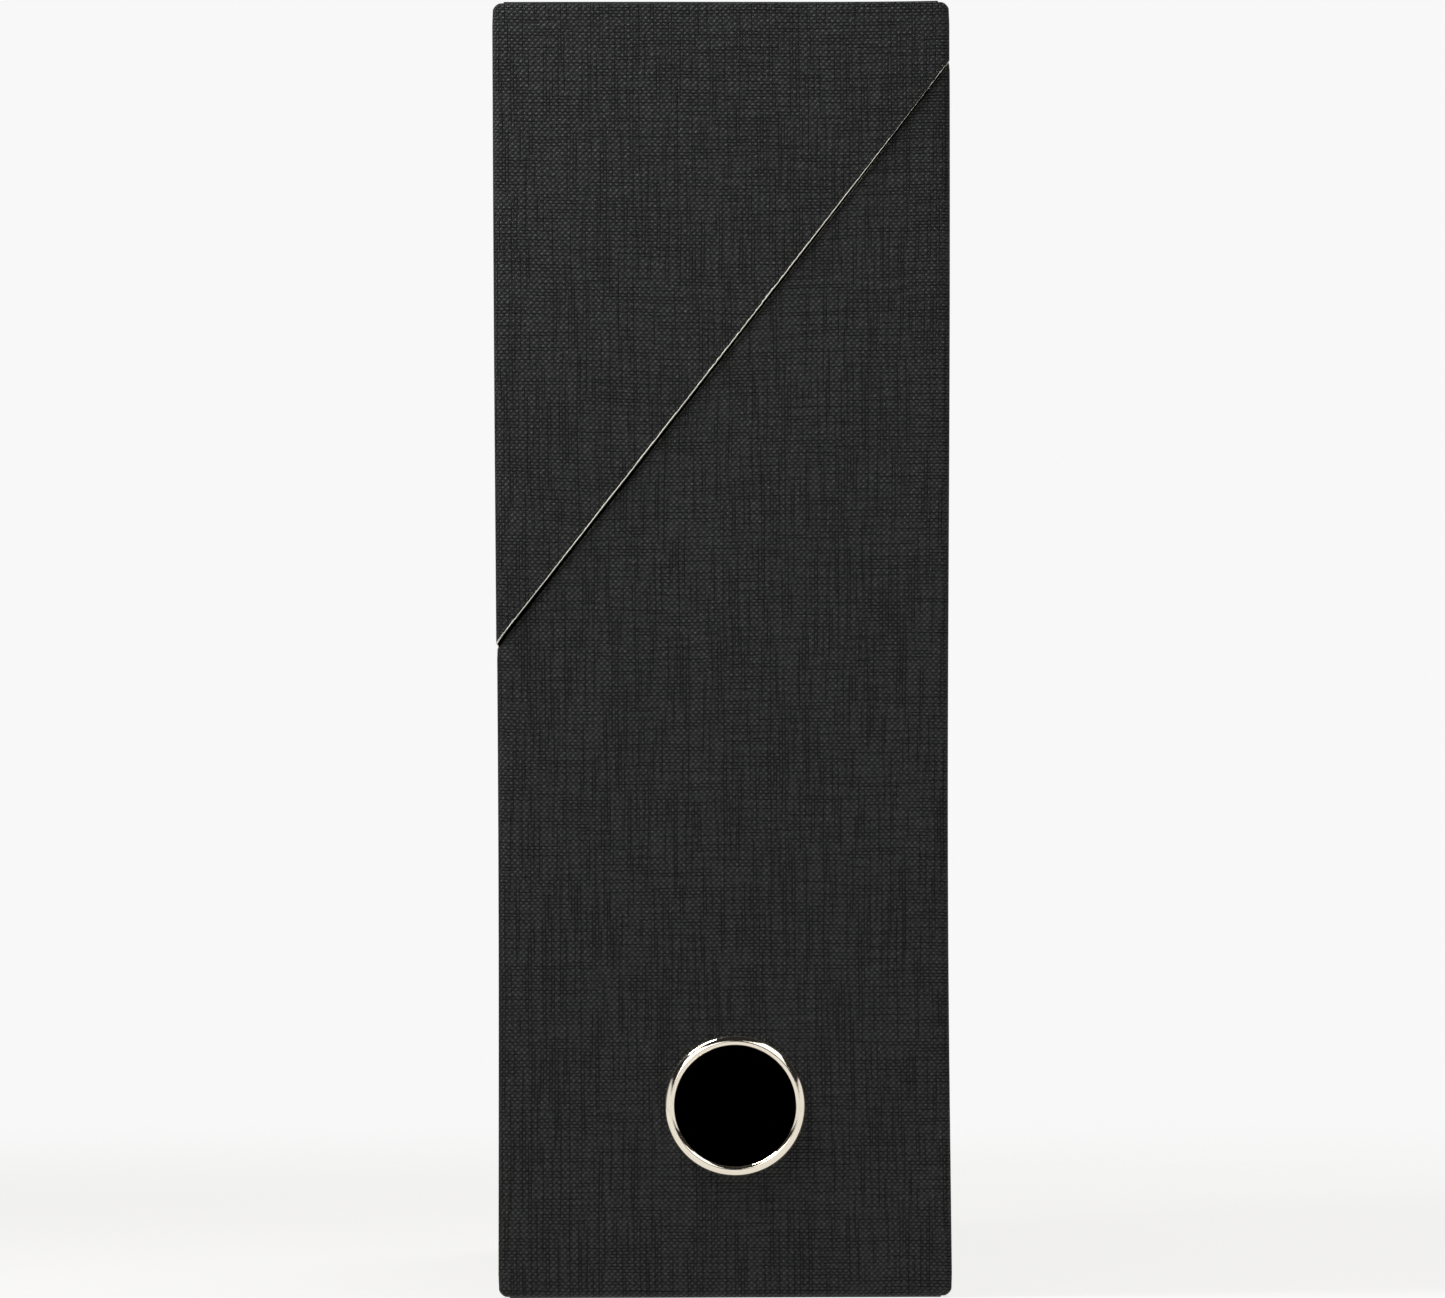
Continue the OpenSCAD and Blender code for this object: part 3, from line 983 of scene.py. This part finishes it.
def finger_ring():
    """Pressed from one piece of steel: a flange with a crown, a barrel and a clinched end."""
    flange_r = (ring_hi.x - ring_lo.x) / 2
    crown_h = -HALF_D - ring_lo.y
    back = -HALF_D - ring_hi.y                      # the clinched end's rear face
    crown_r = BORE_R + crown_h
    fall = flange_r - crown_r
    outer_r = (fall ** 2 + crown_h ** 2) / (2 * crown_h)
    edge = math.degrees(math.asin((outer_r - crown_h) / outer_r))
    outer_centre = (crown_r, crown_h - outer_r)
    inner_edge = math.degrees(math.asin((outer_r - crown_h) / (outer_r - RING_T)))
    curl_r = 0.8 * MM
    clinched = 0.65 * MM                            # the flat part beyond the curl
    curl = (BORE_R + curl_r, back + curl_r)
    profile = arc(outer_centre, outer_r, edge, 90, 14)
    profile += arc((crown_r, 0), crown_h, 90, 180, 14)[1:]
    profile += arc(curl, curl_r, 180, 270, 8)
    profile += [(curl[0] + clinched, back), (curl[0] + clinched, back + RING_T)]
    profile += arc(curl, curl_r - RING_T, 270, 180, 6)
    profile += arc((crown_r, 0), crown_h - RING_T, 180, 90, 8)
    profile += arc(outer_centre, outer_r - RING_T, 90, inner_edge, 8)[1:]
    turns = 240
    bm = bmesh.new()
    rings = []
    for k in range(turns):
        angle = 2 * math.pi * k / turns
        ring = []
        for radius, height in profile:
            ring.append(bm.verts.new((RING_X + radius * math.cos(angle), -HALF_D - height,
                                      RING_Z + radius * math.sin(angle))))
        rings.append(ring)
    for k in range(turns):
        a = rings[k]
        b = rings[(k + 1) % turns]
        for n in range(len(profile)):
            m = (n + 1) % len(profile)
            bm.faces.new([a[n], a[m], b[m], b[n]])
    bmesh.ops.recalc_face_normals(bm, faces=bm.faces)
    piece = finish_mesh(bm, "finger_ring_plated", NICKEL)
    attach(piece, "body")
    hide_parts("finger_ring")


finger_ring()
washer = frame["nodes"]["finger_ring_washer"]
washer.data.materials.clear()
washer.data.materials.append(NICKEL)

# ---- Floor, light and camera ----


def floor():
    """A pale round floor that fades out towards its rim."""
    bm = bmesh.new()
    bmesh.ops.create_circle(bm, cap_ends=True, segments=128, radius=1.1)
    g = Material("floor")
    alpha = g.band(g.distance(g.add("TexCoord", out=3)), 0.35, 1.05, 1.0, 0.0)
    pale = g.finish(Base_Color=(0.12, 0.12, 0.119), Roughness=0.8, Alpha=alpha,
                    Emission_Color=(1.0, 0.995, 0.985), Emission_Strength=0.80)
    piece = finish_mesh(bm, "floor", pale)


DIFFUSE_SHARE = 0.62                                # of the studio's own light, beside the lamps
BACKDROP = (0.939, 0.939, 0.939)


def world():
    """Pale up to the horizon and at both sides, dark overhead and behind the box, less so
    behind its right side."""
    made = bpy.data.worlds.new("studio")
    made.use_nodes = True
    bpy.context.scene.world = made
    g = Nodes(made.node_tree)
    x, y, z = g.parts(g.add("TexCoord"))
    shade = g.band(g.total(g.product(x, x, -0.42), z), -0.05, 0.05, 0.93, 0.022)
    behind = g.add("MapRange", Value=g.total(g.product(x, -0.45), y), From_Min=0.0, From_Max=0.6,
                   To_Min=1.0, To_Max=0.12)
    rays = g.add("LightPath").node.outputs
    colour = g.blend(rays["Is Camera Ray"], g.product(shade, behind), BACKDROP)
    strength = g.add("MapRange", Value=rays["Is Diffuse Ray"], To_Min=1.0, To_Max=DIFFUSE_SHARE)
    background = g.tree.nodes["Background"]
    g.put(background.inputs["Color"], colour)
    g.put(background.inputs["Strength"], strength)


def softbox(name, target, bearing, tilt, away, length, width, radiance):
    """A soft light that faces target. Seen from the front, bearing is its way round target, in
    degrees from the far side upwards. tilt is its angle from the front, and length runs along
    the tilt."""
    theta = math.radians(bearing)
    alpha = math.radians(tilt)
    way = Vector((math.sin(alpha) * math.cos(theta), -math.cos(alpha),
                  math.sin(alpha) * math.sin(theta)))
    lengthways = Vector((math.cos(alpha) * math.cos(theta), math.sin(alpha),
                         math.cos(alpha) * math.sin(theta)))
    turn = Matrix((lengthways.cross(way), lengthways, way)).transposed()
    data = bpy.data.lights.new(name, "AREA")
    data.shape = "RECTANGLE"
    data.size = width
    data.size_y = length
    data.energy = radiance * math.pi * width * length
    lamp = bpy.data.objects.new(name, data)
    lamp.location = Vector(target) + way * away
    lamp.rotation_euler = turn.to_euler()
    bpy.context.scene.collection.objects.link(lamp)


def camera():
    """Square on to the spine, from far off, at the box's middle height."""
    view_w = 378.6 * MM                             # what the picture spans at the spine
    away = 3.0
    sensor = 36
    roll = 0.0035
    data = bpy.data.cameras.new("camera")
    data.sensor_width = sensor
    data.lens = sensor * away / view_w
    data.clip_end = 50
    made = bpy.data.objects.new("camera", data)
    made.location = (-0.18 * MM, -HALF_D - away, 170.10 * MM)
    made.rotation_euler = (math.pi / 2, roll, 0)
    bpy.context.scene.collection.objects.link(made)
    bpy.context.scene.camera = made


floor()
world()
ring_front = (RING_X, -HALF_D, RING_Z)
spine_middle = (0, -HALF_D, BOX_H * 0.6)
softbox("softbox_left", ring_front, 132, 31, 1.0, 0.80, 0.28, 2.6)
softbox("softbox_right", ring_front, 55, 47, 1.0, 1.2, 0.34, 1.9)
softbox("strip_above", spine_middle, 128, 83, 0.52, 0.12, 0.30, 29)
softbox("back_light", (0, HALF_D, BOX_H / 2), 60, 140, 1.6, 0.9, 0.9, 3)
camera()
bpy.context.scene.view_settings.view_transform = "Standard"
